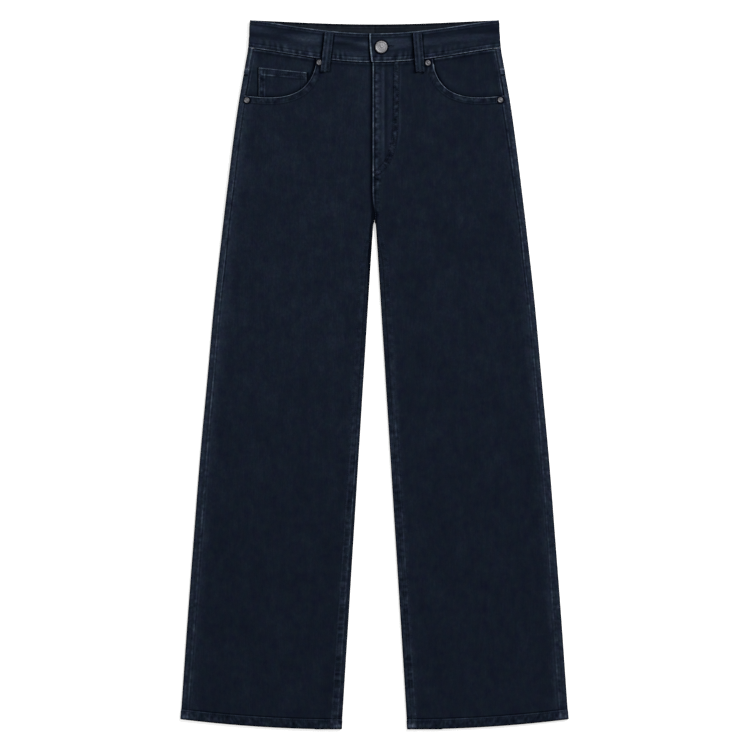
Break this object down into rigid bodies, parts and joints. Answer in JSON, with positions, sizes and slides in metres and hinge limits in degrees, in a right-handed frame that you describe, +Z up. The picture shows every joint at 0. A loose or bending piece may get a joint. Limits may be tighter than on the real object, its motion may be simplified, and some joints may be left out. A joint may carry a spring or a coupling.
{
  "type": "wide leg jeans",
  "caption": "Dark wide leg jeans lying flat on their back, with belt loops, a shank button, a covered zip fly and turned hems.",
  "frame": {"origin": "middle of the garment's footprint, on the surface that it lies on", "axes": "+X to the wearer's left, +Y to the waist, +Z up out of the front of the garment"},
  "size_m": [0.5744, 1.0489, 0.012],
  "materials": {
    "dark_denim": "washed cotton twill, nearly black blue, matt",
    "zip_tape": "woven tape with a metal chain",
    "brushed_metal": "dull grey nickel, lightly brushed"
  },
  "bodies": {
    "root": {"front_left": "dark_denim", "front_right": "dark_denim", "back_left": "dark_denim", "back_right": "dark_denim", "yoke_left": "dark_denim", "yoke_right": "dark_denim", "waistband_left": "dark_denim", "waistband_right": "dark_denim", "pocket_facing_left": "dark_denim", "pocket_facing_right": "dark_denim", "coin_pocket": "dark_denim", "back_pocket_left": "dark_denim", "back_pocket_right": "dark_denim", "fly_shield": "dark_denim", "belt_loop_front_left": "dark_denim", "belt_loop_front_right": "dark_denim", "belt_loop_back_left": "dark_denim", "belt_loop_back_centre": "dark_denim", "belt_loop_back_right": "dark_denim", "zip": "zip_tape", "button": "brushed_metal", "rivet_left_top": "brushed_metal", "rivet_left_side": "brushed_metal", "rivet_right_top": "brushed_metal", "rivet_right_side": "brushed_metal"}
  },
  "joints": []
}
